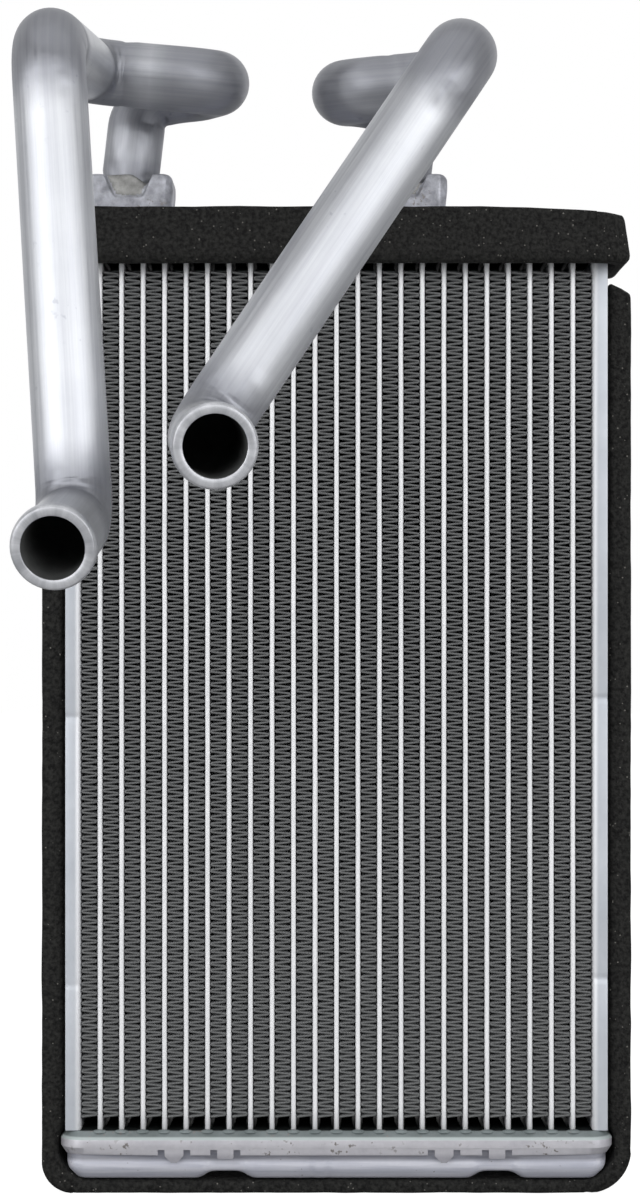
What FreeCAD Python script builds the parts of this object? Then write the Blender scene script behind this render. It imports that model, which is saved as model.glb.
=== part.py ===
import FreeCAD, Part
import os
from math import acos, ceil, cos, pi, radians, sin, tan

# Heater core of a car's cabin heater: a brazed aluminium block of flat tubes and folded fins between two
# pressed tanks, two bent coolant pipes and foam seals. Millimetres, X across the core, Y from the pipe
# mouths (front) to the back, Z up. Origin under the middle of the bottom seal.

V = FreeCAD.Vector

# Tube and fin block
tube_count = 23
tube_pitch = 5.3
tube_thickness = 1.2
tube_wall = 0.3
tube_depth = 26.0
tube_nose = 0.6
fin_stack = 208.6
fin_legs = 13
fin_sheet = 0.6
fin_depth = 25.4
fin_end_gap = 3.1
fin_clearance = 0.02

# Headers: pressed plates with a slot for each tube and a rim round the tank
header_wall = 1.5
header_end = 5.1
header_depth = 32.0
header_rim = 5.6
header_corner = 6.0
header_shoulder = 1.9
tube_reach = 3.0

# Crimp tabs on the rim: long tongues, and short square ones over the tank's necks
tongue_width = 4.6
tongue_drop = 1.8
tongue_taper = 1.6
short_tab_width = 4.0
short_tab_drop = 0.9
short_tab_taper = 0.3
tab_notch_width = 1.7
tab_notch_depth = 1.3
tongue_places = (-39.9, 26.4)
neck_places = (-27.3, 39.4)

# Tanks: deep-drawn shells brazed inside the header rims
tank_wall = 1.2
tank_height = 12.2
tank_crown_chamfer = 3.0
tank_hollow_corner = 2.2
neck_flat = 7.2
neck_slope = 3.0
neck_rise = 2.0
partition_wall = 1.2

# Side plates: channels with their flanges turned outwards
plate_wall = 1.0
plate_flange = 3.8
plate_depth = 27.0

# Saddles: cast blocks that carry the pipes on the top tank, each with two ears and a collar between them
saddle_width = 22.0
saddle_taper = 0.6
saddle_waist = 5.5
saddle_depth = 19.0
saddle_height = 9.4
saddle_corner = 2.0
saddle_ear = 5.0
saddle_ear_round = 1.8
saddle_scoop_floor = 3.6
saddle_scoop_floor_half = 3.5
collar_radius = 8.9
collar_flat_left = 6.0
collar_flat_right = 0.9
collar_rest = 4.2
braze_clearance = 0.05

# Pipes: drawn tube, swaged down at the foot, with a bead at the mouth
pipe_radius = 7.95
pipe_wall = 1.5
neck_radius = 7.15
neck_straight = 7.2
neck_cone = 2.4
foot_reach = 2.2
bead_radius = 8.75
bead_lip_radius = 8.3
bead_lip = 1.0
bead_land = 2.2
bead_taper = 1.2
mouth_length = 14.0
bend_sides = 20
bend_step = 32.0
ring_inset = 0.01

# Pipe routes as corners and bend radii. Corners are measured from the middle of the foot on the top tank:
# up the leaning neck, round a tight turn, out to the front, down, and forward again to the mouth.
left_pipe_x = -51.6
left_pipe_route = (
    ((2.2, 0.0, 28.5), 9.2),
    ((22.1, 0.0, 33.0), 9.8),
    ((22.1, -20.0, 30.0), 9.8),
    ((-9.3, -20.0, 32.7), 10.0),
    ((-10.9, -104.5, 23.2), 11.0),
    ((-3.2, -123.5, -79.8), 11.0),
    ((-5.2, -153.5, -86.2), 0.0),
)
right_pipe_x = 16.6
right_pipe_route = (
    ((2.2, 0.0, 26.9), 8.6),
    ((-14.7, 0.0, 30.7), 8.8),
    ((-14.7, -20.0, 27.6), 9.8),
    ((9.6, -20.0, 29.8), 10.0),
    ((9.9, -104.5, 21.0), 11.0),
    ((-45.1, -118.5, -62.0), 11.0),
    ((-41.3, -153.5, -66.1), 0.0),
)

# Foam seals: a belt round the top tank and a strip round the sides and bottom
seal_under = 3.8
side_seal_thickness = 6.2
side_seal_depth = 24.0
side_seal_corner_left = 8.0
side_seal_corner_right = 11.0
side_seal_top_gap = 3.3
side_seal_top_slope = 3.0
belt_thickness = 4.0
belt_end_thickness = 4.2
belt_height = 14.0
belt_corner = 4.0
seal_clearance = 0.3

# Places that follow from the sizes above
header_bottom_z = seal_under + tank_height
fin_bottom_z = header_bottom_z + fin_end_gap
fin_top_z = fin_bottom_z + fin_stack
header_top_z = fin_top_z + fin_end_gap
tank_top_z = header_top_z + tank_height
core_half = tube_pitch * (tube_count + 1) / 2 - tube_thickness / 2
plate_edge = core_half + plate_flange
header_half = core_half + header_end
tank_half = header_half - header_wall
tank_depth = header_depth - 2 * header_wall
tank_corner = header_corner - header_wall
fin_height = tube_pitch - tube_thickness


def box(x0, x1, y0, y1, z0, z1):
    return Part.makeBox(x1 - x0, y1 - y0, z1 - z0, V(x0, y0, z0))


def prism(points, direction):
    """Solid drawn from a closed outline of straight lines."""
    return Part.Face(Part.makePolygon(points + [points[0]])).extrude(direction)


def upright_edges(block):
    return [e for e in block.Edges if abs(e.tangentAt(e.FirstParameter).z) > 0.9]


def rounded_block(half_x, half_y, corner, z0, z1):
    """Upright block with round corners in plan."""
    block = box(-half_x, half_x, -half_y, half_y, z0, z1)
    return block.makeFillet(corner, upright_edges(block))


def cut_corner_block(half_x, half_y, cut, z0, z1):
    """Upright block with its corners cut off in plan."""
    block = box(-half_x, half_x, -half_y, half_y, z0, z1)
    return block.makeChamfer(cut, upright_edges(block))


def tube_outline():
    """Section of a flat tube: straight sides and a narrowed nose at each end."""
    x = tube_thickness / 2
    y = tube_depth / 2
    side = y - tube_nose
    return [V(-x, -side, 0), V(0, -y, 0), V(x, -side, 0), V(x, side, 0), V(0, y, 0), V(-x, side, 0)]


def tube_x(i):
    return (i - (tube_count - 1) / 2) * tube_pitch


def tube(i):
    """Flat tube, open at both ends, that passes through both headers."""
    length = header_top_z - header_bottom_z + 2 * tube_reach
    x = tube_thickness / 2 - tube_wall
    y = tube_depth / 2 - tube_nose
    waterway = box(-x, x, -y, y, 0, length)
    solid = prism(tube_outline(), V(0, 0, length)).cut(waterway)
    return solid.translated(V(tube_x(i), 0, header_bottom_z - tube_reach))


def fin(i):
    """One folded strip: a zigzag sheet whose folds touch the tube or plate on each side."""
    left = tube_x(i) - tube_pitch + tube_thickness / 2 + fin_clearance
    right = left + fin_height - 2 * fin_clearance - fin_sheet
    zigzag = [V(right if k % 2 else left, -fin_depth / 2, fin_bottom_z + fin_stack * k / fin_legs)
              for k in range(fin_legs + 1)]
    other_face = [p + V(fin_sheet, 0, 0) for p in zigzag]
    return prism(zigzag + other_face[::-1], V(0, fin_depth, 0))


def side_plate(side):
    """Channel with its web on the outer fins and its flanges outwards."""
    x0 = core_half
    y = plate_depth / 2
    w = plate_wall
    outline = [
        V(x0, -y, 0), V(plate_edge, -y, 0), V(plate_edge, -y + w, 0), V(x0 + w, -y + w, 0),
        V(x0 + w, y - w, 0), V(plate_edge, y - w, 0), V(plate_edge, y, 0), V(x0, y, 0),
    ]
    if side < 0:
        outline = [V(-p.x, p.y, 0) for p in outline]
    solid = prism(outline, V(0, 0, header_top_z - header_bottom_z))
    return solid.translated(V(0, 0, header_bottom_z))


def tab(x, y0, width, drop, taper):
    """Crimp tab below the rim, its corners cut by the taper."""
    half = width / 2
    z0 = header_rim - tab_notch_depth
    z1 = header_rim + drop
    outline = [
        V(x - half, y0, z0), V(x - half, y0, z1 - taper), V(x - half + taper, y0, z1),
        V(x + half - taper, y0, z1), V(x + half, y0, z1 - taper), V(x + half, y0, z0),
    ]
    return prism(outline, V(0, header_wall, 0))


def header():
    """Header plate on its core face at z = 0, with the rim going up to hold a tank."""
    y = header_depth / 2
    body = rounded_block(header_half, y, header_corner, 0, header_rim)
    foot = [e for e in body.Edges if abs(e.BoundBox.ZMax) < 1e-6]
    body = body.makeChamfer(header_shoulder, foot)
    inside = rounded_block(tank_half, tank_depth / 2, tank_corner, header_wall, header_rim)
    slot = prism(tube_outline(), V(0, 0, header_wall))
    slots = [slot.translated(V(tube_x(i), 0, 0)) for i in range(tube_count)]
    body = body.cut(inside).cut(Part.makeCompound(slots))
    notches = []
    tabs = []
    kinds = (
        (tongue_places, tongue_width, tongue_drop, tongue_taper),
        (neck_places, short_tab_width, short_tab_drop, short_tab_taper),
    )
    for places, width, drop, taper in kinds:
        half = width / 2 + tab_notch_width
        for x in places:
            for y0 in (-y, y - header_wall):
                notches.append(box(x - half, x + half, y0, y0 + header_wall,
                                   header_rim - tab_notch_depth, header_rim))
                tabs.append(tab(x, y0, width, drop, taper))
    return body.cut(Part.makeCompound(notches)).fuse(tabs).removeSplitter()


def crown(block, inset):
    """The block with its top edges cut off and two necks across it, moved in by the inset."""
    z1 = tank_height - inset
    top = [e for e in block.Edges if e.BoundBox.ZMin > z1 - 1e-6]
    block = block.makeChamfer(tank_crown_chamfer - inset / 2, top)
    y = tank_depth / 2
    for x in neck_places:
        flat = neck_flat / 2 + inset / 2
        out = flat + neck_slope
        outline = [
            V(x - out, -y, z1), V(x - flat, -y, z1 - neck_rise),
            V(x + flat, -y, z1 - neck_rise), V(x + out, -y, z1),
        ]
        block = block.cut(prism(outline, V(0, 2 * y, 0)))
    return block


def tank_hollow():
    half_x = tank_half - tank_wall
    half_y = tank_depth / 2 - tank_wall
    z1 = tank_height - tank_wall
    return crown(cut_corner_block(half_x, half_y, tank_hollow_corner, header_wall, z1), tank_wall)


def tank(pipe_places=()):
    """Drawn shell that stands on the header plate inside its rim, necked twice across the crown."""
    body = rounded_block(tank_half, tank_depth / 2, tank_corner, header_wall, tank_height)
    shell = crown(body, 0).cut(tank_hollow())
    hole_radius = neck_radius + braze_clearance
    for x in pipe_places:
        shell = shell.cut(Part.makeCylinder(hole_radius, tank_height, V(x, 0, header_wall)))
    return shell


def tank_partition():
    """Wall across the top tank that sends the coolant down one half of the tubes and up the other."""
    x = tube_pitch / 2 - partition_wall / 2
    y = tank_depth / 2
    return tank_hollow().common(box(x, x + partition_wall, -y, y, header_wall, tank_height))


def on_top(shape):
    return shape.translated(V(0, 0, header_top_z))


def on_bottom(shape):
    return shape.rotated(V(0, 0, 0), V(1, 0, 0), 180).translated(V(0, 0, header_bottom_z))


def mitred_path(corners, radii):
    """Points of a centre line, each bend as short straight lengths round its circle."""
    points = [corners[0]]
    for before, here, after, radius in zip(corners, corners[1:], corners[2:], radii):
        a = (before - here).normalize()
        b = (after - here).normalize()
        turn = pi - acos(a.dot(b))
        centre = here + (a + b).normalize() * (radius / cos(turn / 2))
        spoke = (here + a * (radius * tan(turn / 2)) - centre).normalize()
        axis = spoke.cross(-a)
        count = ceil(turn / radians(bend_step))
        for k in range(count):
            turned = FreeCAD.Rotation(axis, (k + 0.5) * turn / count * 180 / pi).multVec(spoke)
            points.append(centre + turned * (radius / cos(turn / 2 / count)))
    points.append(corners[-1])
    return points


def ring(centre, direction, radius):
    """Outline across the pipe, with its flats close to the round."""
    across = direction.cross(V(0, 1, 0)).normalize()
    other = direction.cross(across).normalize()
    turns = [2 * pi * k / bend_sides for k in range(bend_sides + 1)]
    return Part.makePolygon([centre + across * (radius * cos(t)) + other * (radius * sin(t)) for t in turns])


def swept(points, radius):
    """Bar along the points, mitred where it turns."""
    outline = ring(points[0], (points[1] - points[0]).normalize(), radius)
    return Part.makePolygon(points).makePipeShell([outline], True, False, 1)


def pipe_form(x, route, wall):
    """The pipe's outside, or its bore when the wall is taken off: swaged foot, bends and round mouth."""
    seat = V(x, 0, tank_top_z)
    foot = seat - V(0, 0, foot_reach)
    kink = seat + V(0, 0, saddle_height + braze_clearance)
    corners = [seat + V(*place) for place, _ in route]
    radii = [radius for _, radius in route]
    tip = corners[-1]
    up = (corners[0] - kink).normalize()
    out = (tip - corners[-2]).normalize()
    swage = kink + up * neck_straight
    mouth = tip - out * mouth_length
    narrow = neck_radius - ring_inset
    wide = pipe_radius - ring_inset
    if wall:
        narrow = (neck_radius - wall) / cos(pi / bend_sides)
        wide = (pipe_radius - wall) / cos(pi / bend_sides)
    bent = mitred_path([swage + up * neck_cone] + corners[:-1] + [mouth], radii)
    cone = Part.makeLoft([ring(swage, up, narrow), ring(bent[0], up, wide)], True, True)
    round_mouth = Part.makeCylinder(pipe_radius - wall, mouth_length, mouth, out)
    return swept(bent, wide).fuse([cone, swept([foot, kink, swage], narrow), round_mouth]), tip, out


def bead(tip, out):
    """Rolled bead at the mouth that keeps the hose on."""
    lip = Part.makeCone(bead_lip_radius, bead_radius, bead_lip, tip, -out)
    land = Part.makeCylinder(bead_radius, bead_land, tip - out * bead_lip, -out)
    taper = Part.makeCone(bead_radius, pipe_radius, bead_taper, tip - out * (bead_lip + bead_land), -out)
    return lip.fuse([land, taper])


def pipe(x, route):
    """Bent pipe with a swaged foot and a beaded mouth. Its bends have flats, so that they stay light."""
    outside, tip, out = pipe_form(x, route, 0)
    bore = pipe_form(x, route, pipe_wall)[0]
    return outside.fuse(bead(tip, out)).removeSplitter().cut(bore)


def saddle(x):
    """Block with two ears and a scoop across it, and a collar with a sloping lobe round the pipe's foot."""
    half = saddle_width / 2
    foot = half - saddle_taper
    y = saddle_depth / 2
    top = saddle_height
    front = [
        V(-foot, -y, 0), V(-half, -y, saddle_waist), V(-half, -y, top), V(-half + saddle_ear, -y, top),
        V(-saddle_scoop_floor_half, -y, saddle_scoop_floor),
    ]
    front = front + [V(-p.x, p.y, p.z) for p in front[::-1]]
    block = prism(front, V(0, 2 * y, 0))
    shoulders = [e for e in block.Edges
                 if abs(e.CenterOfMass.z - top) < 1e-6 and abs(abs(e.CenterOfMass.x) - half) < 1e-6]
    block = block.makeFillet(saddle_ear_round, shoulders)
    plan = [V(half - saddle_corner, -y, 0), V(half, -y + saddle_corner, 0)]
    plan = plan + [V(p.x, -p.y, 0) for p in plan[::-1]]
    plan = plan + [V(-p.x, p.y, 0) for p in plan[::-1]]
    block = block.common(prism(plan, V(0, 0, top)))
    lobe = [
        V(-collar_radius, -y, 0), V(-collar_radius, -y, collar_rest), V(-collar_flat_left, -y, top),
        V(collar_flat_right, -y, top), V(collar_radius, -y, collar_rest), V(collar_radius, -y, 0),
    ]
    up = V(0, 0, 1)
    collar = Part.Face(ring(V(0, 0, 0), up, collar_radius)).extrude(up * top)
    hole = (neck_radius + braze_clearance) / cos(pi / bend_sides)
    bore = Part.Face(ring(V(0, 0, 0), up, hole)).extrude(up * top)
    block = block.fuse(collar.common(prism(lobe, V(0, 2 * y, 0)))).removeSplitter().cut(bore)
    return block.translated(V(x, 0, tank_top_z))


def belt_seal():
    """Foam belt round the header and tank at the top."""
    z0 = tank_top_z - belt_height
    half_x = header_half + seal_clearance
    half_y = header_depth / 2 + seal_clearance
    inner_cut = header_corner * (2 - 2 ** 0.5)
    outer_x = half_x + belt_end_thickness
    outer_y = half_y + belt_thickness
    outer = cut_corner_block(outer_x, outer_y, belt_corner, z0, tank_top_z)
    return outer.cut(cut_corner_block(half_x, half_y, inner_cut, z0, tank_top_z))


def side_seal():
    """Foam strip down one side, under the bottom tank and up the other side."""
    y = side_seal_depth / 2
    outer_x = plate_edge + side_seal_thickness
    top = tank_top_z - belt_height - side_seal_top_gap
    outer = box(-outer_x, outer_x, -y, y, 0, top)
    for side, corner in ((-1, side_seal_corner_left), (1, side_seal_corner_right)):
        low = [e for e in outer.Edges
               if abs(e.CenterOfMass.x - side * outer_x) < 1e-6 and e.BoundBox.ZMax < 1e-6]
        outer = outer.makeFillet(corner, low)
    slope = [V(outer_x, -y, top - side_seal_top_slope), V(outer_x, -y, top), V(plate_edge, -y, top)]
    for side in (-1, 1):
        outer = outer.cut(prism([V(p.x * side, p.y, p.z) for p in slope], V(0, 2 * y, 0)))
    step_x = header_half + seal_clearance
    ledge_z = header_bottom_z + seal_clearance
    toe_x = tank_half - tank_crown_chamfer
    toe_z = seal_under + step_x - toe_x
    inner = [
        V(plate_edge, -y, top), V(plate_edge, -y, ledge_z), V(step_x, -y, ledge_z),
        V(step_x, -y, toe_z), V(toe_x, -y, seal_under),
    ]
    inner = inner + [V(-p.x, p.y, p.z) for p in inner[::-1]]
    return outer.cut(prism(inner, V(0, 2 * y, 0)))


def save(name, shape):
    shape.exportStep("parts/" + name + ".step")


os.makedirs("parts", exist_ok=True)
for i in range(tube_count):
    save("tube_%02d" % (i + 1), tube(i))
for i in range(tube_count + 1):
    save("fin_%02d" % (i + 1), fin(i))
save("side_plate_left", side_plate(-1))
save("side_plate_right", side_plate(1))
save("header_bottom", on_bottom(header()))
save("header_top", on_top(header()))
save("tank_bottom", on_bottom(tank()))
save("tank_top", on_top(tank((left_pipe_x, right_pipe_x))))
save("tank_partition", on_top(tank_partition()))
save("pipe_saddle_left", saddle(left_pipe_x))
save("pipe_saddle_right", saddle(right_pipe_x))
save("pipe_left", pipe(left_pipe_x, left_pipe_route))
save("pipe_right", pipe(right_pipe_x, right_pipe_route))
save("seal_top", belt_seal())
save("seal_perimeter", side_seal())
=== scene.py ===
# Cabin heater core of a car: flat tubes and folded fins brazed between two end tanks,
# two bent coolant pipes on the top tank, and foam seals round the edge.
# Sizes are in metres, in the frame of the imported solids.
import math

import bmesh
import bpy
from mathutils import Matrix, Vector, noise


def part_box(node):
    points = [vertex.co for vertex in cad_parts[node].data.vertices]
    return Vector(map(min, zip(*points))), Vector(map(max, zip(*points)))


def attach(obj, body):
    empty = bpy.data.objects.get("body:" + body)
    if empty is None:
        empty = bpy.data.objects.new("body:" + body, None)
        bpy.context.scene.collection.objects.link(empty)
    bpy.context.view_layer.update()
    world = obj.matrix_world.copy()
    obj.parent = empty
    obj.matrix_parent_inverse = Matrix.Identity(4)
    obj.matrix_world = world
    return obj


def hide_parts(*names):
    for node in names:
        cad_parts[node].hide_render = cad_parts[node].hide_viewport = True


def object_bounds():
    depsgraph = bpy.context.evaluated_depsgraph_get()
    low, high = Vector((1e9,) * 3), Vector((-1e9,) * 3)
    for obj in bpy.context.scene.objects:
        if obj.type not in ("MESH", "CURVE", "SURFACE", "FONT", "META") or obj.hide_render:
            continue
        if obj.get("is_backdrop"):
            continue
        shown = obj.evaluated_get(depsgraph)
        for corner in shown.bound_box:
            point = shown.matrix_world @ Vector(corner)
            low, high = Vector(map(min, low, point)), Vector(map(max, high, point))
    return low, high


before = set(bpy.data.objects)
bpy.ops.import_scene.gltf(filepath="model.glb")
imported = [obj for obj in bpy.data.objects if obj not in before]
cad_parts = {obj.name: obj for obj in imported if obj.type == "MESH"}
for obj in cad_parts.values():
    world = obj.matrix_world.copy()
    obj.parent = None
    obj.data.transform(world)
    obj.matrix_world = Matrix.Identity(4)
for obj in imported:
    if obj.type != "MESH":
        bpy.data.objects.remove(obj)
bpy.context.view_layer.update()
scene = bpy.context.scene

# The view: level, straight on to the side of the pipe mouths, about 70 cm away.
lens = bpy.data.cameras.new("view")
lens.lens, lens.sensor_width = 85.0, 36.0
viewer = bpy.data.objects.new("view", lens)
viewer.location = (-0.00406, -0.7135, 0.1462)
viewer.rotation_euler = (math.radians(90), 0, 0)
scene.collection.objects.link(viewer)
scene.camera = viewer
scene.view_settings.view_transform = "Standard"


# The studio: a white sweep behind and below, a dim room on the camera's side,
# and soft lamps above, to the left and to the right of the camera.
def add(tree, kind, values=(), **settings):
    """Adds a shader node. Values are numbers and colours for its inputs, or sockets to link."""
    made = tree.nodes.new("ShaderNode" + kind)
    for name, value in settings.items():
        setattr(made, name, value)
    for socket, value in dict(values).items():
        if isinstance(value, bpy.types.NodeSocket):
            tree.links.new(value, made.inputs[socket])
        else:
            made.inputs[socket].default_value = value
    return made


def plain_view(tree):
    """A mask of the rays that look straight at the backdrop, or at it through glass."""
    rays = add(tree, "LightPath").outputs
    straight = add(tree, "Math", {0: rays["Is Camera Ray"], 1: rays["Is Transmission Ray"]},
                   operation="MAXIMUM")
    return straight.outputs[0], rays["Is Glossy Ray"]


world = bpy.data.worlds.new("studio")
world.use_nodes = True
scene.world = world
sky = world.node_tree
seen, mirrored = plain_view(sky)
direction = add(sky, "SeparateXYZ", {0: add(sky, "TexCoord").outputs["Generated"]})
# Strengths: what metal mirrors of the room and of the sweep, and what lights the core.
dim_room, white_sweep, room_light = 0.24, 0.9, 0.45
sweep = add(sky, "MapRange", {"Value": direction.outputs["Y"], "From Min": 0.25,
                              "From Max": 0.85, "To Min": dim_room, "To Max": white_sweep})
reflected = add(sky, "Mix", {0: mirrored, 2: room_light, 3: sweep.outputs[0]})
backdrop = add(sky, "Mix", {0: seen, 2: reflected.outputs[0], 3: 1.0})
sky.links.new(backdrop.outputs[0], sky.nodes["Background"].inputs["Strength"])
sky.nodes["Background"].inputs["Color"].default_value = (1, 1, 1, 1)

bm = bmesh.new()
bmesh.ops.create_grid(bm, x_segments=8, y_segments=8, size=3.0)
floor_mesh = bpy.data.meshes.new("floor")
bm.to_mesh(floor_mesh)
bm.free()
floor = bpy.data.objects.new("floor", floor_mesh)
scene.collection.objects.link(floor)
floor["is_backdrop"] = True
paper = bpy.data.materials.new("white_paper")
paper.use_nodes = True
tree = paper.node_tree
seen, mirrored = plain_view(tree)
paper_seen, paper_mirrored = 0.94, 0.12
glow = add(tree, "Math", {0: mirrored, 1: paper_mirrored}, operation="MULTIPLY")
glow = add(tree, "Math", {0: seen, 1: paper_seen, 2: glow.outputs[0]}, operation="MULTIPLY_ADD")
sheet = tree.nodes["Principled BSDF"].inputs
sheet["Base Color"].default_value = (0.3, 0.3, 0.3, 1)
sheet["Roughness"].default_value = 0.9
sheet["Specular IOR Level"].default_value = 0.0
sheet["Emission Color"].default_value = (1, 1, 1, 1)
tree.links.new(glow.outputs[0], sheet["Emission Strength"])
floor_mesh.materials.append(paper)

core_middle = Vector((0, -0.03, 0.14))
for name, place, size, watts in (
    ("softbox_above", (0.0, -0.15, 1.45), (1.8, 0.8), 3.5),
    ("softbox_left", (-0.95, -0.80, 0.40), (1.0, 1.0), 7.0),
    ("softbox_right", (0.95, -0.80, 0.40), (1.0, 1.0), 6.6),
    ("softbox_front", (0.0, -1.20, 0.75), (1.9, 0.9), 7.2),
):
    light = bpy.data.lights.new(name, "AREA")
    light.shape = "RECTANGLE"
    light.size, light.size_y = size
    light.energy = watts
    lamp = bpy.data.objects.new(name, light)
    lamp.location = place
    lamp.rotation_euler = (core_middle - Vector(place)).to_track_quat("-Z", "Y").to_euler()
    lamp.visible_camera = False
    scene.collection.objects.link(lamp)


# The 23 flat tubes: thin clad aluminium sheet, rolled flat with round noses and left bright.
# Each one stands in a slot of both headers and is brazed there.
def piece(name, bm, slot, *materials, replaces=(), crisp=None):
    """Makes a bmesh a finished piece of the core, with smooth faces up to the crisp angle."""
    mesh = bpy.data.meshes.new(name)
    bm.to_mesh(mesh)
    bm.free()
    mesh.shade_smooth()
    if crisp:
        mesh.set_sharp_from_angle(angle=math.radians(crisp))
    for material in materials:
        mesh.materials.append(material)
    made = bpy.data.objects.new(name, mesh)
    scene.collection.objects.link(made)
    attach(made, "root")
    if replaces:
        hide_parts(*replaces)
    return made


def effect(name, inputs, outputs):
    """An empty node group with its sockets. Returns its tree, inputs and outputs."""
    tree = bpy.data.node_groups.new(name, "ShaderNodeTree")
    for label, kind, value in inputs:
        socket = tree.interface.new_socket(label, in_out="INPUT", socket_type="NodeSocket" + kind)
        if value is not None:
            socket.default_value = value
    for label, kind in outputs:
        tree.interface.new_socket(label, in_out="OUTPUT", socket_type="NodeSocket" + kind)
    given = tree.nodes.new("NodeGroupInput").outputs
    return tree, given, tree.nodes.new("NodeGroupOutput").inputs


def use(tree, effect_tree, values):
    """Puts an effect into a material and returns its outputs."""
    return add(tree, "Group", values, node_tree=effect_tree).outputs


def new_finish(name, metallic, roughness=None):
    """A material, its tree and its shader's inputs, with its even metallic and roughness."""
    material = bpy.data.materials.new(name)
    material.use_nodes = True
    shader = material.node_tree.nodes["Principled BSDF"].inputs
    shader["Metallic"].default_value = metallic
    if roughness is not None:
        shader["Roughness"].default_value = roughness
    return material, material.node_tree, shader


# Cloudy change from one tone to another, as brazed or handled metal has.
mottle, given, gives = effect(
    "mottle",
    (("Vector", "Vector", None), ("Scale", "Float", 60.0), ("Contrast", "Float", 0.2),
     ("Dark", "Color", (0.4, 0.4, 0.4, 1)), ("Light", "Color", (0.6, 0.6, 0.6, 1))),
    (("Color", "Color"), ("Mask", "Float")),
)
cloud = add(mottle, "TexNoise", {"Vector": given["Vector"], "Scale": given["Scale"],
                                 "Detail": 5.0, "Roughness": 0.62})
lowest = add(mottle, "Math", {0: 0.5, 1: given["Contrast"]}, operation="SUBTRACT")
highest = add(mottle, "Math", {0: 0.5, 1: given["Contrast"]}, operation="ADD")
mask = add(mottle, "MapRange", {"Value": cloud.outputs["Fac"], "From Min": lowest.outputs[0],
                                "From Max": highest.outputs[0]})
tone = add(mottle, "Mix", {0: mask.outputs[0], 6: given["Dark"], 7: given["Light"]},
           data_type="RGBA")
mottle.links.new(tone.outputs[2], gives["Color"])
mottle.links.new(mask.outputs[0], gives["Mask"])

clad, tree, shader = new_finish("clad_tube", 0.15, 0.42)
own = add(tree, "TexCoord").outputs["Object"]
tone = use(tree, mottle, {"Vector": own, "Scale": 90.0, "Contrast": 0.25,
                          "Dark": (0.76, 0.77, 0.79, 1), "Light": (0.87, 0.87, 0.89, 1)})
tree.links.new(tone["Color"], shader["Base Color"])
grain = add(tree, "TexNoise", {"Vector": own, "Scale": 1500.0})
relief = add(tree, "Bump", {"Height": grain.outputs["Fac"], "Strength": 0.1, "Distance": 0.0002})
tree.links.new(relief.outputs[0], shader["Normal"])

tube_count = 23
tube_sides, tube_bays = 20, 24
tube_wall, tube_waver = 0.0003, 0.00006
for number in range(1, tube_count + 1):
    low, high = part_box(f"tube_{number:02d}")
    middle = (low + high) / 2
    nose = (high.x - low.x) / 2
    bm = bmesh.new()
    turn = Matrix.Rotation(math.pi / tube_sides, 4, "Z")
    ring = bmesh.ops.create_circle(bm, segments=tube_sides, radius=nose, matrix=turn)["verts"]
    for v in ring:
        v.co.y += math.copysign((high.y - low.y) / 2 - nose, v.co.y)
    bmesh.ops.translate(bm, verts=ring, vec=(middle.x, middle.y, low.z))
    drawn = bmesh.ops.extrude_edge_only(bm, edges=bm.edges[:])["geom"]
    top = [v for v in drawn if isinstance(v, bmesh.types.BMVert)]
    bmesh.ops.translate(bm, verts=top, vec=(0, 0, high.z - low.z))
    upright = [e for e in bm.edges if abs(e.verts[0].co.z - e.verts[1].co.z) > nose]
    bmesh.ops.subdivide_edges(bm, edges=upright, cuts=tube_bays)
    for v in bm.verts:
        v.co.x += tube_waver * noise.noise((number, 0, v.co.z * 60))
    bmesh.ops.recalc_face_normals(bm, faces=bm.faces[:])
    tube = piece(f"flat_tube_{number:02d}", bm, "tube_aluminium", clad,
                 replaces=[f"tube_{number:02d}"])
    wall = tube.modifiers.new("wall", "SOLIDIFY")
    wall.thickness, wall.offset = tube_wall, -1


# The 24 fins: one strip of very thin aluminium each, folded to and fro about 250 times,
# squeezed between two tubes and brazed to them at every fold.
def tinted(material, mask, tone, blend="MULTIPLY"):
    """Lays one more tone over a finish's colour, as far as the mask says."""
    tree = material.node_tree
    colour = tree.nodes["Principled BSDF"].inputs["Base Color"]
    laid = add(tree, "Mix", {0: mask, 6: colour.links[0].from_socket, 7: (*tone, 1)},
               data_type="RGBA", blend_type=blend)
    tree.links.new(laid.outputs[2], colour)


def far_from(material, axis, middle, start, full):
    """A mask by the distance from a plane across the axis: 0 up to start, 1 from full on."""
    tree = material.node_tree
    apart = add(tree, "SeparateXYZ", {0: add(tree, "TexCoord").outputs["Object"]})
    apart = add(tree, "Math", {0: apart.outputs[axis], 1: middle}, operation="SUBTRACT")
    apart = add(tree, "Math", {0: apart.outputs[0]}, operation="ABSOLUTE")
    return add(tree, "MapRange", {"Value": apart.outputs[0], "From Min": start,
                                  "From Max": full}).outputs[0]


fin_metal, tree, shader = new_finish("fin_strip", 0.2, 0.5)
own = add(tree, "TexCoord").outputs["Object"]
tone = use(tree, mottle, {"Vector": own, "Scale": 220.0, "Contrast": 0.3,
                          "Dark": (0.30, 0.31, 0.315, 1), "Light": (0.37, 0.38, 0.385, 1)})
tree.links.new(tone["Color"], shader["Base Color"])
# Its cut edges at the front and the back are darker.
tinted(fin_metal, far_from(fin_metal, "Y", 0, 0.0112, 0.0124), (0.36, 0.36, 0.36))

fin_count = 24
fin_sheet = 0.0005
leg_pitch = 0.00082
# One fold's half: share of the way across, share of the way up.
fold_line = ((-1, 0), (-0.9, 0.28), (0, 0.5), (0.9, 0.72), (1, 1))
wave_height = 0.00085
# Between its front and back edges the strip is waved: share of its depth, share of the wave.
wave = ((0, 0), (0.08, 0), (0.24, 1), (0.5, -1), (0.9, 0), (1, 0))
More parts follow.
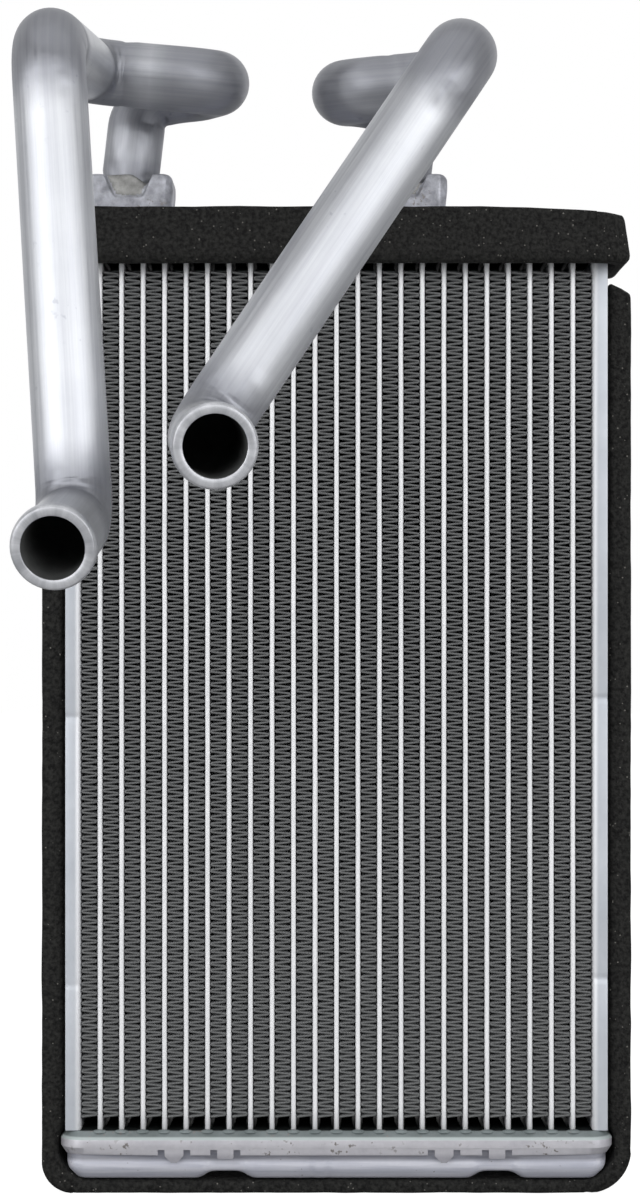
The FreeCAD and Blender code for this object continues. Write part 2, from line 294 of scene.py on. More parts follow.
# No fold is quite like the next, but for the ends: shares of the pitch and of the reach.
drift_most, jitter_most, squeeze_most = 0.45, 0.18, 0.03
even_end = 0.004
for number in range(1, fin_count + 1):
    low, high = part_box(f"fin_{number:02d}")
    legs = 2 * round((high.z - low.z) / leg_pitch / 2)
    pitch = (high.z - low.z) / legs
    middle = (low.x + high.x) / 2
    reach = (high.x - low.x - fin_sheet) / 2
    bm = bmesh.new()
    fold = [bm.verts.new((reach * x, low.y, pitch * z)) for x, z in fold_line]
    fold += [bm.verts.new((-reach * x, low.y, pitch * (1 + z))) for x, z in fold_line[1:]]
    for a, b in zip(fold, fold[1:]):
        bm.edges.new((a, b))
    bmesh.ops.spin(bm, geom=bm.verts[:] + bm.edges[:], cent=(0, 0, 0), axis=(0, 0, 1), angle=0,
                   dvec=(0, 0, 2 * pitch), steps=legs // 2 - 1, use_duplicate=True)
    bmesh.ops.remove_doubles(bm, verts=bm.verts[:], dist=pitch / 50)
    drawn = bmesh.ops.extrude_edge_only(bm, edges=bm.edges[:])["geom"]
    back = [v for v in drawn if isinstance(v, bmesh.types.BMVert)]
    bmesh.ops.translate(bm, verts=back, vec=(0, high.y - low.y, 0))
    across = [e for e in bm.edges if abs(e.verts[0].co.y - e.verts[1].co.y) > reach]
    bmesh.ops.subdivide_edges(bm, edges=across, cuts=len(wave) - 2)
    for v in bm.verts:
        height = v.co.z
        depth, lift = wave[round((v.co.y - low.y) / (high.y - low.y) * (len(wave) - 1))]
        v.co.y = low.y + (high.y - low.y) * depth
        v.co.z += wave_height * lift
        drift = noise.noise((number * 7.3, 0, height * 55)) * drift_most
        jitter = noise.noise((number * 3.1, 5, height * 900)) * jitter_most
        edge = min(1.0, height / even_end, (high.z - low.z - height) / even_end)
        v.co.z += low.z + pitch * (drift + jitter) * max(edge, 0)
        squeeze = squeeze_most * abs(noise.noise((number, 9, height * 700)))
        v.co.x = middle + v.co.x * (1 - squeeze)
    strip = piece(f"folded_fin_{number:02d}", bm, "fin_aluminium", fin_metal,
                  replaces=[f"fin_{number:02d}"])
    sheet = strip.modifiers.new("sheet", "SOLIDIFY")
    sheet.thickness, sheet.offset = fin_sheet, 0


# The side plates: channels folded from aluminium sheet that close the stack left and right.
# Their legs point outwards. Both are kinked a little at the places where a jig held them.
plate_metal, tree, shader = new_finish("side_plate_sheet", 0.3, 0.45)
own = add(tree, "TexCoord").outputs["Object"]
tone = use(tree, mottle, {"Vector": own, "Scale": 70.0, "Contrast": 0.25,
                          "Dark": (0.48, 0.51, 0.56, 1), "Light": (0.61, 0.64, 0.69, 1)})
tree.links.new(tone["Color"], shader["Base Color"])
grain = add(tree, "TexNoise", {"Vector": own, "Scale": 900.0})
relief = add(tree, "Bump", {"Height": grain.outputs["Fac"], "Strength": 0.12, "Distance": 0.0002})
tree.links.new(relief.outputs[0], shader["Normal"])

# A painted highlight lightens the inner bend next to the outer fin, where the light catches the
# bend.
highlight_bend_starts, highlight_bend_full = 0.0646, 0.0638
tinted(plate_metal, far_from(plate_metal, "X", 0, highlight_bend_starts, highlight_bend_full),
       (0.80, 0.81, 0.84), "MIX")

plate_wall, plate_bend, plate_edge = 0.001, 0.0016, 0.00015
# Each kink: how high, and how far the leg is pressed out there.
kink_reach = 0.0016
for side, kinks in (("left", ((0.1178, 0.00045), (0.0518, 0.0002))),
                    ("right", ((0.1225, 0.00045), (0.0535, 0.0004)))):
    low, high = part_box("side_plate_" + side)
    outer, inner = (low.x, high.x) if side == "left" else (high.x, low.x)
    bm = bmesh.new()
    line = [bm.verts.new((x, y, low.z))
            for x, y in ((outer, low.y), (inner, low.y), (inner, high.y), (outer, high.y))]
    for a, b in zip(line, line[1:]):
        bm.edges.new((a, b))
    bmesh.ops.bevel(bm, geom=line[1:3], offset=plate_bend, offset_type="OFFSET", segments=6,
                    profile=0.5, affect="VERTICES", material=-1)
    drawn = bmesh.ops.extrude_edge_only(bm, edges=bm.edges[:])["geom"]
    top = [v for v in drawn if isinstance(v, bmesh.types.BMVert)]
    bmesh.ops.translate(bm, verts=top, vec=(0, 0, high.z - low.z))
    for height, depth in kinks:
        for share in (-1, -0.6, -0.3, 0, 0.3, 0.6, 1):
            bmesh.ops.bisect_plane(bm, geom=bm.verts[:] + bm.edges[:] + bm.faces[:],
                                   plane_co=(0, 0, height + share * kink_reach),
                                   plane_no=(0, 0, 1))
        for v in bm.verts:
            away = (v.co.z - height) / kink_reach
            if abs(away) < 1:
                v.co.y -= math.copysign(depth * math.cos(away * math.pi / 2) ** 2, v.co.y)
    bmesh.ops.recalc_face_normals(bm, faces=bm.faces[:])
    plate = piece("side_channel_" + side, bm, "brazed_aluminium", plate_metal, crisp=50,
                  replaces=["side_plate_" + side])
    wall = plate.modifiers.new("wall", "SOLIDIFY")
    wall.thickness, wall.offset = plate_wall, -1
    edge = plate.modifiers.new("edge", "BEVEL")
    edge.width, edge.segments, edge.limit_method = plate_edge, 2, "ANGLE"
    edge.angle_limit = math.radians(60)


# The headers: pans pressed from sheet, with a slot for each tube. Their rims are
# crimped over the tanks, and short tongues are bent in below the rim to hold them.
def from_solid(node):
    """The solid's own mesh, merged into whole faces, as the start of a finished piece."""
    bm = bmesh.new()
    bm.from_mesh(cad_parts[node].data)
    bmesh.ops.remove_doubles(bm, verts=bm.verts[:], dist=1e-6)
    bmesh.ops.dissolve_limit(bm, angle_limit=math.radians(1), verts=bm.verts[:],
                             edges=bm.edges[:])
    return bm


def soft_form(node, cell, rounds):
    """The solid's form in small even faces, with its edges and corners drawn round."""
    block = bpy.data.objects.new("form", bpy.data.meshes.new("form"))
    scene.collection.objects.link(block)
    bm = from_solid(node)
    bm.to_mesh(block.data)
    bm.free()
    remesh = block.modifiers.new("cells", "REMESH")
    remesh.mode, remesh.voxel_size = "VOXEL", cell
    whole = block.evaluated_get(bpy.context.evaluated_depsgraph_get())
    bm = bmesh.new()
    bm.from_mesh(bpy.data.meshes.new_from_object(whole))
    bpy.data.objects.remove(block)
    for _ in range(rounds):
        bmesh.ops.smooth_vert(bm, verts=bm.verts[:], factor=0.5,
                              use_axis_x=True, use_axis_y=True, use_axis_z=True)
    bm.normal_update()
    return bm


# Small irregular stains that lie in clusters: ash of the flux, burnt spots, marks of handling.
stains, given, gives = effect(
    "stains",
    (("Vector", "Vector", None), ("Scale", "Float", 700.0), ("Least", "Float", 0.62)),
    (("Mask", "Float"),),
)
grains = add(stains, "TexNoise", {"Vector": given["Vector"], "Scale": given["Scale"],
                                  "Detail": 2.0})
most = add(stains, "Math", {0: given["Least"], 1: 0.06}, operation="ADD")
grain = add(stains, "MapRange", {"Value": grains.outputs["Fac"], "From Min": given["Least"],
                                 "From Max": most.outputs[0]})
wide = add(stains, "Math", {0: given["Scale"], 1: 0.14}, operation="MULTIPLY")
crowd = add(stains, "TexNoise", {"Vector": given["Vector"], "Scale": wide.outputs[0]})
crowd = add(stains, "MapRange", {"Value": crowd.outputs["Fac"], "From Min": 0.5, "From Max": 0.6})
mask = add(stains, "Math", {0: grain.outputs[0], 1: crowd.outputs[0]}, operation="MULTIPLY")
stains.links.new(mask.outputs[0], gives["Mask"])


def brazed_finish(name, dark, light, contrast=0.22, scale=120.0, metal=0.72, stained=0.62,
                  relief_strength=0.2):
    """Aluminium as it leaves the brazing furnace: cloudy, a little rough, with small stains."""
    material, tree, shader = new_finish(name, metal)
    own = add(tree, "TexCoord").outputs["Object"]
    tone = use(tree, mottle, {"Vector": own, "Scale": scale, "Contrast": contrast,
                              "Dark": (*dark, 1), "Light": (*light, 1)})
    spots = use(tree, stains, {"Vector": own, "Scale": 900.0, "Least": stained})
    spotted = add(tree, "Mix", {0: spots["Mask"], 6: tone["Color"], 7: (0.26, 0.245, 0.24, 1)},
                  data_type="RGBA")
    tree.links.new(spotted.outputs[2], shader["Base Color"])
    dull = add(tree, "MapRange", {"Value": tone["Mask"], "To Min": 0.60, "To Max": 0.44})
    tree.links.new(dull.outputs[0], shader["Roughness"])
    grain = add(tree, "TexNoise", {"Vector": own, "Scale": 700.0, "Detail": 4.0})
    relief = add(tree, "Bump", {"Height": grain.outputs["Fac"], "Strength": relief_strength,
                                "Distance": 0.0003})
    tree.links.new(relief.outputs[0], shader["Normal"])
    return material


core_centre = sum(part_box("side_plate_left")[k].z for k in (0, 1)) / 2
core_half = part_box("side_plate_left")[1].z - core_centre
brazed = brazed_finish("brazed_sheet", (0.51, 0.505, 0.545), (0.67, 0.663, 0.703))
# The face towards the core is dark, partly stained by the flux and partly painted shade of the
# narrow gap under the fins, but for the outer edge of its shoulder, which is left lighter.
flux_and_shade_tones = (0.155, 0.182, 0.184), (0.25, 0.285, 0.29)
fluxed_and_shaded = brazed_finish("fluxed_shaded_face", *flux_and_shade_tones, metal=0.5)
solder = brazed_finish("solder_fillet", *flux_and_shade_tones, metal=0.2)
tinted(fluxed_and_shaded, far_from(fluxed_and_shaded, "Z", core_centre, core_half + 0.0011, core_half + 0.0014),
       (0.50, 0.56, 0.56), "MIX")
# Between the tubes the face is painted black as shade of the deep gap under the fins, and so is
# the solder there.
painted_shade, tree, shader = new_finish("painted_shade_between_tubes", 0.0, 0.9)
shader["Specular IOR Level"].default_value = 0.0
tone = use(tree, mottle, {"Vector": add(tree, "TexCoord").outputs["Object"], "Scale": 300.0,
                          "Dark": (0.008, 0.009, 0.009, 1), "Light": (0.022, 0.025, 0.025, 1)})
tree.links.new(tone["Color"], shader["Base Color"])
# How far the painted shade goes from the middle, along the core and across it.
painted_shade_half = Vector((0.0632, 0.0132, 0))
solder.node_tree.nodes["Principled BSDF"].inputs["Specular IOR Level"].default_value = 0.1
tinted(solder, far_from(solder, "Y", 0, painted_shade_half.y + 0.0002, painted_shade_half.y - 0.0002),
       (0.06, 0.065, 0.065))
# The tongues and the free edge of the rim are darker than its front.
tinted(brazed, far_from(brazed, "Z", core_centre, core_half + 0.0050, core_half + 0.0062),
       (0.74, 0.74, 0.76))

# The rim's corners are crimped in under the tank, from a little inside their round.
rim_height, rim_corner, rim_round = 0.0056, 0.006, 0.0055
crimp_depth, crimp_reach = 0.0012, 0.0018
seat_dip, rim_edge = 0.0021, 0.0004
# Half sizes of the fillet round a tube, and of the drop at each of its noses.
solder_rise, solder_side, solder_end = 0.0006, 0.0014, 0.0006
drop_size, drop_sink = (1.3 * solder_side, 0.0015, 0.0005), 0.0002
for place, core_side in (("bottom", 1), ("top", -1)):
    low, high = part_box("header_" + place)
    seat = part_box("side_plate_left")[0].z if core_side > 0 else low.z
    free_edge = seat - core_side * rim_height
    bm = from_solid("header_" + place)
    bmesh.ops.bisect_plane(bm, geom=bm.verts[:] + bm.edges[:] + bm.faces[:],
                           plane_co=(0, 0, free_edge + core_side * crimp_reach),
                           plane_no=(0, 0, 1))
    for axis, half in enumerate(painted_shade_half.xy):
        for sign in (-1, 1):
            cut = Vector((0, 0, 0))
            cut[axis] = sign
            bmesh.ops.bisect_plane(bm, geom=bm.verts[:] + bm.edges[:] + bm.faces[:],
                                   plane_co=cut * half, plane_no=cut)
    hub = Vector((high.x - rim_corner, high.y - rim_corner))
    for v in bm.verts:
        out = abs(v.co.x) - hub.x
        across = max(abs(v.co.y) - hub.y, 0)
        on_edge = (v.co.z - free_edge) * core_side < 1e-5
        if on_edge and out > 0 and math.hypot(out, across) > rim_round:
            v.co.x -= math.copysign(crimp_depth * out / rim_corner, v.co.x)
            v.co.y -= math.copysign(crimp_depth * across / rim_corner, v.co.y)
    bm.normal_update()
    # Seat faces between the tubes get the painted shade; the rest of the seat gets the fluxed and
    # shaded face.
    for face in bm.faces:
        middle = face.calc_center_bounds()
        if face.normal.z * core_side > 0.5 and abs(middle.z - seat) < seat_dip:
            within = abs(middle.x) < painted_shade_half.x and abs(middle.y) < painted_shade_half.y
            face.material_index = 2 if within else 1
    pan = piece("header_pan_" + place, bm, "brazed_aluminium", brazed, fluxed_and_shaded, painted_shade,
                crisp=35, replaces=["header_" + place])
    edge = pan.modifiers.new("round", "BEVEL")
    edge.width, edge.segments, edge.limit_method = rim_edge, 3, "ANGLE"
    edge.angle_limit = math.radians(30)
    edge.harden_normals = True

    # A low fillet of solder has run round the foot of each tube.
    bm = bmesh.new()
    for number in range(1, tube_count + 1):
        tube_low, tube_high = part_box(f"tube_{number:02d}")
        middle = (tube_low + tube_high) / 2
        mound = bmesh.ops.create_uvsphere(bm, u_segments=14, v_segments=6, radius=1)["verts"]
        bmesh.ops.scale(bm, verts=mound, vec=(solder_side, tube_high.y + solder_end, solder_rise))
        for v in mound:
            v.co.z *= 1 + 0.35 * noise.noise((v.co.x * 300 + number, v.co.y * 300, 3))
        bmesh.ops.translate(bm, verts=mound, vec=(middle.x, middle.y, seat))
        for end in (-1, 1):
            drop = bmesh.ops.create_uvsphere(bm, u_segments=12, v_segments=6, radius=1)["verts"]
            bmesh.ops.scale(bm, verts=drop, vec=drop_size)
            bmesh.ops.translate(bm, verts=drop, vec=(middle.x, end * (tube_high.y + solder_end),
                                                     seat - core_side * drop_sink))
    piece("solder_" + place, bm, "brazed_aluminium", solder)


# The tanks: deep-drawn lids of the same sheet, brazed into the headers' rims and necked in
# twice. A partition inside the top tank parts the coolant that comes in from what goes out.

# Long fine marks of drawing, which follow the metal's way through the die.
streaks, given, gives = effect(
    "streaks",
    (("Vector", "Vector", None), ("Across", "Float", 900.0), ("Along", "Float", 12.0)),
    (("Value", "Float"),),
)
stretch = add(streaks, "CombineXYZ", {0: given["Across"], 1: given["Across"], 2: given["Along"]})
drawn = add(streaks, "VectorMath", {0: given["Vector"], 1: stretch.outputs[0]},
            operation="MULTIPLY")
lines = add(streaks, "TexNoise", {"Vector": drawn.outputs[0], "Scale": 1.0, "Detail": 4.0,
                                  "Roughness": 0.6})
streaks.links.new(lines.outputs["Fac"], gives["Value"])

lid_metal = brazed_finish("drawn_lid", (0.70, 0.71, 0.79), (0.86, 0.87, 0.95), scale=60.0,
                          metal=0.6, stained=0.70, relief_strength=0.1)
tree = lid_metal.node_tree
along = add(tree, "SeparateXYZ", {0: add(tree, "TexCoord").outputs["Object"]})
along = add(tree, "CombineXYZ", {0: along.outputs["Z"], 1: along.outputs["Y"],
                                 2: along.outputs["X"]})
lines = use(tree, streaks, {"Vector": along.outputs[0], "Across": 700.0, "Along": 30.0})
lines = add(tree, "MapRange", {"Value": lines["Value"], "From Min": 0.62, "From Max": 0.40})
tinted(lid_metal, lines.outputs[0], (0.80, 0.81, 0.84))
# Under the header's rim the lid is painted darker, as shade cast by the rim.
rim_out = core_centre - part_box("header_bottom")[0].z
tinted(lid_metal, far_from(lid_metal, "Z", core_centre, rim_out + 0.0002, rim_out - 0.0008),
       (0.45, 0.45, 0.46))
# The necks and two narrow grooves run down the lid's walls, from the rim to the crown's edge.
neck_places, neck_reach, neck_depth = (-0.0273, 0.0394), 0.0066, 0.0009
groove_places, groove_width, groove_depth = (-0.0061, -0.0020), 0.0009, 0.00025
in_rim, wall_ease = 0.0018, 0.0015
crown_flat, crown_edge = 0.006, 0.012
for place, away, cell, rounds in (("bottom", -1, 0.0006, 9), ("top", 1, 0.0008, 5)):
    low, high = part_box("header_" + place)
    start = low.z + in_rim if away < 0 else high.z - in_rim
    bm = soft_form("tank_" + place, cell, rounds)
    for v in bm.verts:
        free = min(max((v.co.z - start) * away / wall_ease, 0), 1)
        near = min(abs(v.co.x - neck) for neck in neck_places) / neck_reach
        dip = neck_depth * (0.5 + 0.5 * math.cos(math.pi * min(max(near - 0.4, 0) / 0.6, 1)))
        dip += sum(groove_depth * math.exp(-((v.co.x - x) / groove_width) ** 2)
                   for x in groove_places)
        side = min(max((abs(v.co.y) - crown_flat) / (crown_edge - crown_flat), 0), 1)
        v.co.y -= math.copysign(dip * free * side, v.co.y)
    piece("tank_" + place + "_lid", bm, "brazed_aluminium", lid_metal,
          replaces=["tank_" + place])
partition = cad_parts["tank_partition"].data
partition.materials.clear()
partition.materials.append(lid_metal)


# The saddles: small castings brazed to the top tank, each a block with two ears and
# a scooped front, with a sloping collar that the foot of a pipe stands in.
cast = brazed_finish("cast_saddle", (0.25, 0.255, 0.28), (0.50, 0.51, 0.56), contrast=0.17,
                     scale=300.0, metal=0.6, stained=0.6, relief_strength=0.5)
collar_metal = brazed_finish("cast_collar", (0.20, 0.20, 0.195), (0.36, 0.36, 0.35),
                             contrast=0.14, scale=260.0, metal=0.55, stained=0.68)
collar_radius = 0.0090
saddle_cell, saddle_rounds = 0.0005, 3
for side, foot_x in (("left", -0.0516), ("right", 0.0166)):
    bm = soft_form("pipe_saddle_" + side, saddle_cell, saddle_rounds)
    for face in bm.faces:
        middle = face.calc_center_median()
        if math.hypot(middle.x - foot_x, middle.y) < collar_radius:
            face.material_index = 1
    piece("saddle_" + side, bm, "brazed_aluminium", cast, collar_metal,
          replaces=["pipe_saddle_" + side])


# The pipes: drawn aluminium tube of 15.9 mm, necked down at the foot, bent hard six times
# to reach round the case wall, and rolled out to a bead at the mouth for a rubber hose.
pipe_radius, neck_radius, bore_radius = 0.00795, 0.00715, 0.00645
pipe_wall, mouth_radius, mouth_lip = 0.0015, 0.00815, 0.0002
neck_end, cone_end = 0.036, 0.046
bend_flattened = 0.045
bend_step, run_step, pipe_sides = math.radians(6), 0.002, 48
# The mouth, from the tip back: how far, and the outer radius there.
bead = ((0.0052, 0.00795), (0.0046, 0.00799), (0.0042, 0.00815), (0.0038, 0.00845),
        (0.0034, 0.00867), (0.0030, 0.00875), (0.0020, 0.00875), (0.0012, 0.00872),
        (0.0007, 0.00860), (0.0003, 0.00842), (0.0001, 0.00828))


def centre_line(foot, corners, tip):
    """The pipe's frames from foot to tip: (matrix whose Z runs along the pipe, travel, bend)."""
    here, heading = Matrix.Translation(foot), Vector((0, 0, 1))
    frames, travel = [(here.copy(), 0.0, None)], 0.0
    points = [Vector(foot) + Vector(c) for c, _ in corners] + [Vector(foot) + Vector(tip)]
    for (_, radius), corner, after in zip(corners + [(None, 0)], points, points[1:] + [None]):
        at = here.to_translation()
        if after is None:
            length, turn = (corner - at).length - bead[0][0], 0
        else:
            onward = (after - corner).normalized()
            turn = heading.angle(onward)
            length = (corner - at).length - radius * math.tan(turn / 2)
        steps = max(1, math.ceil(length / run_step))
        for _ in range(steps):
            here = Matrix.Translation(heading * length / steps) @ here
            travel += length / steps
            frames.append((here.copy(), travel, None))
        if after is None:
            break
        axis = heading.cross(onward).normalized()
        inward = axis.cross(heading)
        hub = Matrix.Translation(here.to_translation() + inward * radius)
        steps = max(2, math.ceil(turn / bend_step))
        swing = hub @ Matrix.Rotation(turn / steps, 4, axis) @ hub.inverted()
        squeeze = here.to_3x3().inverted() @ inward
        for k in range(1, steps + 1):
            here = swing @ here
            travel += radius * turn / steps
            share = math.sin(math.pi * k / steps) ** 2
            frames.append((here.copy(), travel, (squeeze, share)))
        heading = onward
    for back, following in zip(bead, bead[1:] + ((0, 0),)):
        here = Matrix.Translation(heading * (back[0] - following[0])) @ here
        travel += back[0] - following[0]
        frames.append((here.copy(), travel, None))
    return frames


def next_ring(bm, ring, move):
    """Draws the tube on by one ring, and keeps the order of its points."""
    edges = [bm.edges.get((a, b)) for a, b in zip(ring, ring[1:] + ring[:1])]
    made = bmesh.ops.extrude_edge_only(bm, edges=edges)["geom"]
    fresh = {v for v in made if isinstance(v, bmesh.types.BMVert)}
    bmesh.ops.transform(bm, matrix=move, verts=list(fresh))
    return [next(e.other_vert(v) for e in v.link_edges if e.other_vert(v) in fresh) for v in ring]


def section(radius, bend):
    """How the round section is sized and flattened at one place of the pipe."""
    size = Matrix.Diagonal((radius / pipe_radius, radius / pipe_radius, 1, 1))
    if bend:
        inward, share = bend
        size = Matrix.Scale(1 - bend_flattened * share, 4, inward) @ size
    return size


def outer_radius(travel, length, creases=()):
    """The outside radius at one place: the neck, the cone, the creases of the bends, the bead."""
    if travel < cone_end:
        share = min(max((travel - neck_end) / (cone_end - neck_end), 0), 1)
        return neck_radius + (pipe_radius - neck_radius) * share * share * (3 - 2 * share)
    back = length - travel
    if back < bead[0][0] + 1e-7:
        for (a, ra), (b, rb) in zip(bead, bead[1:] + ((0, mouth_radius),)):
            if b - 1e-7 <= back <= a + 1e-7:
                return ra + (rb - ra) * (a - back) / (a - b)
    groove = sum(depth * math.exp(-((travel - place) / width) ** 2)
                 for place, depth, width in creases)
    return pipe_radius - groove


# How far the dulling reaches from a bend, and how much the neck has: rougher metal and, in its
# colour, painted shade.
dull_reach, neck_dull_and_shade = 0.010, 0.65


def bent_pipe(name, node, foot, corners, tip, creases, materials):
    """Draws one pipe ring by ring, outside to the mouth and then back along its bore."""
    frames = centre_line(foot, corners, tip)
    length = frames[-1][1]
    bm = bmesh.new()
    skin = bm.verts.layers.float_vector.new("skin")
    dull = bm.verts.layers.float.new("dull")
    bent = [t for _, t, b in frames if b]
    rolled = bm.loops.layers.uv.new("rolled_out")
    places = {}
    shapes = [(m, t, section(outer_radius(t, length, creases), b)) for m, t, b in frames]
    shapes.append((frames[-1][0], length, section(bore_radius + mouth_lip, None)))
    inside, bead_rings = len(shapes), 4
    shapes += [(m, t, section(min(bore_radius, outer_radius(t, length) - pipe_wall), b))
               for m, t, b in reversed(frames)]
    ring, before = None, None
    for k, (place, travel, size) in enumerate(shapes):
        now = place @ size
        if k == inside:
            now = Matrix.Translation(place.col[2].to_3d() * -mouth_lip) @ now
        if ring is None:
            ring = bmesh.ops.create_circle(bm, segments=pipe_sides, radius=pipe_radius,
                                           matrix=now)["verts"]
        else:
            ring = next_ring(bm, ring, now @ before.inverted())
        before = now
        for j, v in enumerate(ring):
            angle = math.tau * j / pipe_sides
            v[skin] = (pipe_radius * math.cos(angle), pipe_radius * math.sin(angle), travel)
            close = max(0, 1 - min(abs(travel - t) for t in bent) / dull_reach)
            v[dull] = max(neck_dull_and_shade if travel < neck_end else 0,
                          close * close * (3 - 2 * close))
            places[v] = (j, travel)
        if k >= inside - bead_rings:
            for face in {f for v in ring for f in v.link_faces}:
                face.material_index = 1 if k > inside + 1 else 2
    rims = [e for e in bm.edges if len(e.link_faces) == 1]
    bmesh.ops.bridge_loops(bm, edges=rims)
    bmesh.ops.recalc_face_normals(bm, faces=bm.faces[:])
    for face in bm.faces:
        at_seam = max(places[v][0] for v in face.verts) == pipe_sides - 1
        for loop in face.loops:
            j, travel = places[loop.vert]
            loop[rolled].uv = ((pipe_sides if at_seam and j == 0 else j) / pipe_sides, travel)
    return piece(name, bm, "pipe_aluminium", *materials, replaces=[node], crisp=60)


pipe_metal, tree, shader = new_finish("drawn_pipe", 0.9)
skin = add(tree, "Attribute", attribute_name="skin").outputs["Vector"]
tone = use(tree, mottle, {"Vector": skin, "Scale": 45.0, "Contrast": 0.25,
                          "Dark": (0.545, 0.56, 0.595, 1), "Light": (0.65, 0.664, 0.69, 1)})
tree.links.new(tone["Color"], shader["Base Color"])
fine = use(tree, streaks, {"Vector": skin, "Across": 1400.0, "Along": 25.0})
worn = add(tree, "MapRange", {"Value": fine["Value"], "From Min": 0.65, "From Max": 0.3})
tinted(pipe_metal, worn.outputs[0], (0.82, 0.82, 0.84))
marks = use(tree, stains, {"Vector": skin, "Scale": 420.0, "Least": 0.67})
tinted(pipe_metal, marks["Mask"], (0.80, 0.80, 0.83))
# The bends are dull and a little wrinkled where the metal was stretched and pressed. Their darker
# colour, and the neck's, is painted shade as well.
dull_and_shade = add(tree, "Attribute", attribute_name="dull").outputs["Fac"]
tinted(pipe_metal, dull_and_shade, (0.60, 0.60, 0.62))
satin = add(tree, "MapRange", {"Value": fine["Value"], "From Min": 0.3, "From Max": 0.7,
                               "To Min": 0.36, "To Max": 0.48})
rougher = add(tree, "Math", {0: dull_and_shade, 1: 0.10, 2: satin.outputs[0]}, operation="MULTIPLY_ADD")
tree.links.new(rougher.outputs[0], shader["Roughness"])
relief = add(tree, "Bump", {"Height": fine["Value"], "Strength": 0.12, "Distance": 0.0002})
warp = add(tree, "TexNoise", {"Vector": skin, "Scale": 95.0, "Detail": 1.5})
warp = add(tree, "Math", {0: warp.outputs["Fac"], 1: 0.5}, operation="SUBTRACT")
warp = add(tree, "Math", {0: warp.outputs[0], 1: dull_and_shade}, operation="MULTIPLY")
wrinkles = add(tree, "Bump", {"Height": warp.outputs[0], "Strength": 0.9, "Distance": 0.0025,
                              "Normal": relief.outputs[0]})
tree.links.new(wrinkles.outputs[0], shader["Normal"])
shader["Anisotropic"].default_value = 0.5
around = add(tree, "Tangent", direction_type="UV_MAP", uv_map="rolled_out")
tree.links.new(around.outputs[0], shader["Tangent"])

bore_metal, tree, shader = new_finish("pipe_bore", 0.3)
skin = add(tree, "Attribute", attribute_name="skin").outputs["Vector"]
tone = use(tree, mottle, {"Vector": skin, "Scale": 200.0, "Contrast": 0.25,
                          "Dark": (0.06, 0.063, 0.062, 1), "Light": (0.12, 0.123, 0.122, 1)})
tree.links.new(tone["Color"], shader["Base Color"])
shader["Roughness"].default_value = 0.6

mouth_metal, tree, shader = new_finish("rolled_mouth", 0.5, 0.36)
skin = add(tree, "Attribute", attribute_name="skin").outputs["Vector"]
tone = use(tree, mottle, {"Vector": skin, "Scale": 300.0, "Contrast": 0.18,
                          "Dark": (0.35, 0.36, 0.385, 1), "Light": (0.62, 0.63, 0.66, 1)})
tree.links.new(tone["Color"], shader["Base Color"])

foot_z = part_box("tank_top")[1].z - 0.0022
kink = ((0, 0, 0.01165), 0.02)
pipe_metals = (pipe_metal, bore_metal, mouth_metal)
# Each bend is a corner of the route and a radius, from the foot. A crease is a place along
# the pipe, its depth and its width.
bent_pipe("bent_pipe_left", "pipe_left", (-0.0516, 0, foot_z),
          [kink, ((0.0022, 0, 0.0307), 0.0092), ((0.0221, 0, 0.0352), 0.0098),
           ((0.0221, -0.02, 0.0322), 0.0098), ((-0.0093, -0.02, 0.0349), 0.010),
           ((-0.0109, -0.1045, 0.0254), 0.011), ((-0.0032, -0.1235, -0.0776), 0.011)],
          (-0.0052, -0.1535, -0.084), ((0.0832, 0.0003, 0.0010), (0.0972, 0.0003, 0.0012)),
          pipe_metals)
bent_pipe("bent_pipe_right", "pipe_right", (0.0166, 0, foot_z),
          [kink, ((0.0022, 0, 0.0291), 0.0086), ((-0.0147, 0, 0.0329), 0.0088),
           ((-0.0147, -0.02, 0.0298), 0.0098), ((0.0096, -0.02, 0.032), 0.010),
           ((0.0099, -0.1045, 0.0232), 0.011), ((-0.0451, -0.1185, -0.0598), 0.011)],
          (-0.0413, -0.1535, -0.0639), ((0.0664, 0.00022, 0.0008),), pipe_metals)


# The foam seals: black open-cell foam with a skin of glue. A belt goes round the top header
# and tank, and one long strip goes down one side, under the bottom tank and up the other.

# Small round marks, each a chance spot in its own cell: on the foam, painted glints of cells that
# shine.
specks, given, gives = effect(
    "specks",
    (("Vector", "Vector", None), ("Scale", "Float", 400.0), ("Size", "Float", 0.3),
     ("Share", "Float", 0.1)),
    (("Mask", "Float"),),
)
cells = add(specks, "TexVoronoi", {"Vector": given["Vector"], "Scale": given["Scale"]})
near = add(specks, "Math", {0: cells.outputs["Distance"], 1: given["Size"]}, operation="LESS_THAN")
chance = add(specks, "SeparateXYZ", {0: cells.outputs["Color"]})
chosen = add(specks, "Math", {0: chance.outputs[0], 1: given["Share"]}, operation="LESS_THAN")
both = add(specks, "Math", {0: near.outputs[0], 1: chosen.outputs[0]}, operation="MULTIPLY")
specks.links.new(both.outputs[0], gives["Mask"])

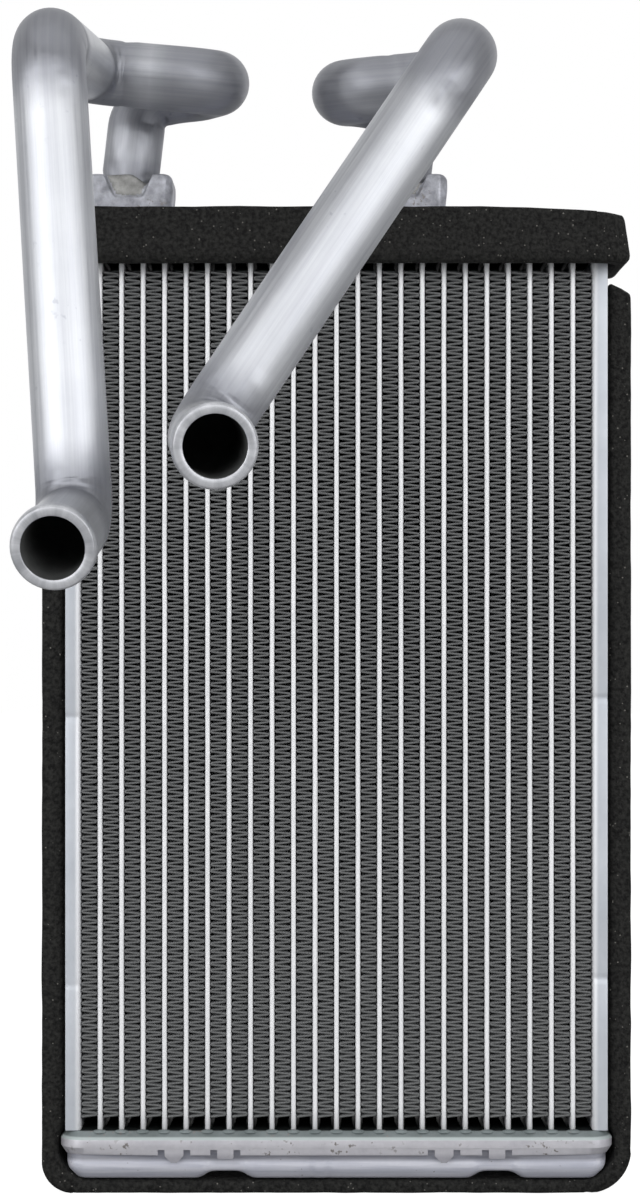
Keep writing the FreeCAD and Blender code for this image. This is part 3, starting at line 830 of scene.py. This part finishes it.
foam, tree, shader = new_finish("black_foam", 0.0, 0.85)
shader["Specular IOR Level"].default_value = 0.25
own = add(tree, "TexCoord").outputs["Object"]
tone = use(tree, mottle, {"Vector": own, "Scale": 1000.0, "Contrast": 0.13,
                          "Dark": (0.002, 0.002, 0.002, 1), "Light": (0.020, 0.020, 0.0187, 1)})
tree.links.new(tone["Color"], shader["Base Color"])
# Painted glints: lighter specks laid into the foam's colour.
painted_glints = use(tree, specks, {"Vector": own, "Scale": 1700.0, "Size": 0.32, "Share": 0.028})
tinted(foam, painted_glints["Mask"], (0.13, 0.125, 0.115), "MIX")
pores = add(tree, "TexVoronoi", {"Vector": own, "Scale": 1400.0})
relief = add(tree, "Bump", {"Height": pores.outputs["Distance"], "Strength": 0.5,
                            "Distance": 0.0004})
tree.links.new(relief.outputs[0], shader["Normal"])


foam_rounds = 3
uneven = 0.0003


def foam_block(name, node, cell, settle):
    """The seal as soft foam: its edges worn round, and its faces a little uneven."""
    bm = soft_form(node, cell, foam_rounds)
    for v in bm.verts:
        dip = 0.5 + 0.5 * noise.fractal(v.co * 90, 1.0, 2.0, 3)
        v.co -= v.normal * uneven * dip
        settle(v.co)
    block = piece(name, bm, "seal_foam", foam, replaces=[node])


belt_low, belt_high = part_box("seal_top")
belt_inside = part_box("header_top")[1] + Vector((0.0003, 0.0003, 0))
hem, turned_in = 0.0026, 0.55
sag, sag_start, tuck = 0.0018, 0.03, 0.0017


def settle_belt(place):
    """The belt's lower edge is turned in round. Its right end hangs and is drawn in on top."""
    under = min(max((belt_low.z + hem - place.z) / hem, 0), 1)
    turned = turned_in * (1 - math.sqrt(1 - under * under))
    for k in (0, 1):
        out = abs(place[k]) - belt_inside[k]
        if out > 0:
            place[k] -= math.copysign(out * turned, place[k])
    along = min(max((place.x - sag_start) / (belt_high.x - sag_start), 0), 1)
    height = (place.z - belt_low.z) / (belt_high.z - belt_low.z)
    if place.x > belt_inside.x - 0.004:
        place.x -= tuck * height
    place.z -= sag * along * along * height


strip_low, strip_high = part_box("seal_perimeter")
strip_corners = {-1: 0.008, 1: 0.011}
corner_skin, corner_inset = 0.0010, 0.0002


def settle_strip(place):
    """The strip bends smoothly round its two lower corners."""
    for side, radius in strip_corners.items():
        hub = Vector((side * (strip_high.x - radius), 0, strip_low.z + radius))
        out = Vector((place.x - hub.x, 0, place.z - hub.z))
        if out.x * side > 0 > out.z and out.length > radius - corner_skin:
            out *= (radius - corner_inset) / out.length
            place.x, place.z = hub.x + out.x, hub.z + out.z


foam_block("foam_belt", "seal_top", 0.0010, settle_belt)
foam_block("foam_strip", "seal_perimeter", 0.0013, settle_strip)

low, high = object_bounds()
